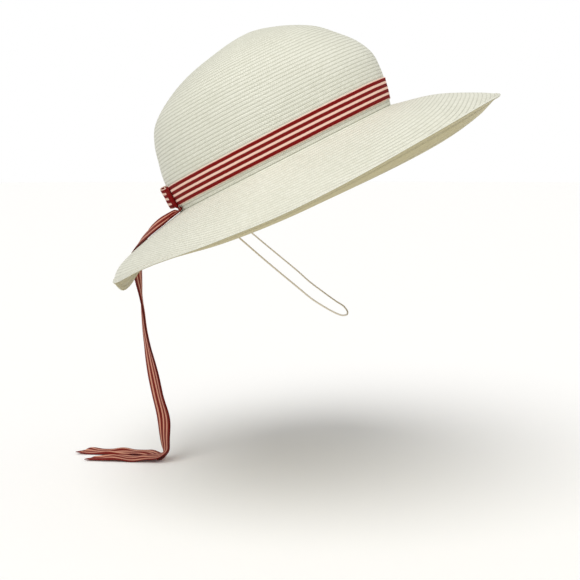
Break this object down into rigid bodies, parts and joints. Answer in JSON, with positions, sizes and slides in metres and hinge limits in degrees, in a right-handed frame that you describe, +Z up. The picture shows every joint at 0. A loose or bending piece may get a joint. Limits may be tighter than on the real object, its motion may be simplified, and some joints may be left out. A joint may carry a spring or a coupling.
{
  "type": "sun hat",
  "caption": "Straw sun hat with domed crown, wide turned-down brim, striped ribbon band, bow with long tails, and chin elastic.",
  "frame": {"origin": "middle of the head opening, in the plane where crown and brim meet", "axes": "+Z up as worn, +X to the wearer's front, +Y to the wearer's left"},
  "size_m": [0.3834, 0.3304, 0.4],
  "materials": {
    "straw_crown": "sewn straw braid, off-white, satin",
    "straw_brim": "sewn straw braid, off-white, satin",
    "band_ribbon": "ribbed ribbon, dark red and pale pink stripes",
    "loop_ribbon": "ribbed ribbon, dark red and pale pink stripes",
    "knot_ribbon": "ribbed ribbon, dark red and pale pink stripes",
    "under_tail_ribbon": "ribbed ribbon, dark red and pale pink stripes",
    "upper_tail_ribbon": "ribbed ribbon, dark red and pale pink stripes",
    "elastic_cord": "round braided elastic, light brown",
    "right_knot_elastic": "knotted elastic, light brown",
    "left_knot_elastic": "knotted elastic, light brown"
  },
  "bodies": {
    "root": {"crown": "straw_crown", "brim": "straw_brim", "hat_band": "band_ribbon", "bow_loop": "loop_ribbon", "bow_knot": "knot_ribbon", "ribbon_tail_under": "under_tail_ribbon", "ribbon_tail_upper": "upper_tail_ribbon", "chin_elastic": "elastic_cord", "elastic_knot_right": "right_knot_elastic", "elastic_knot_left": "left_knot_elastic"}
  },
  "joints": []
}
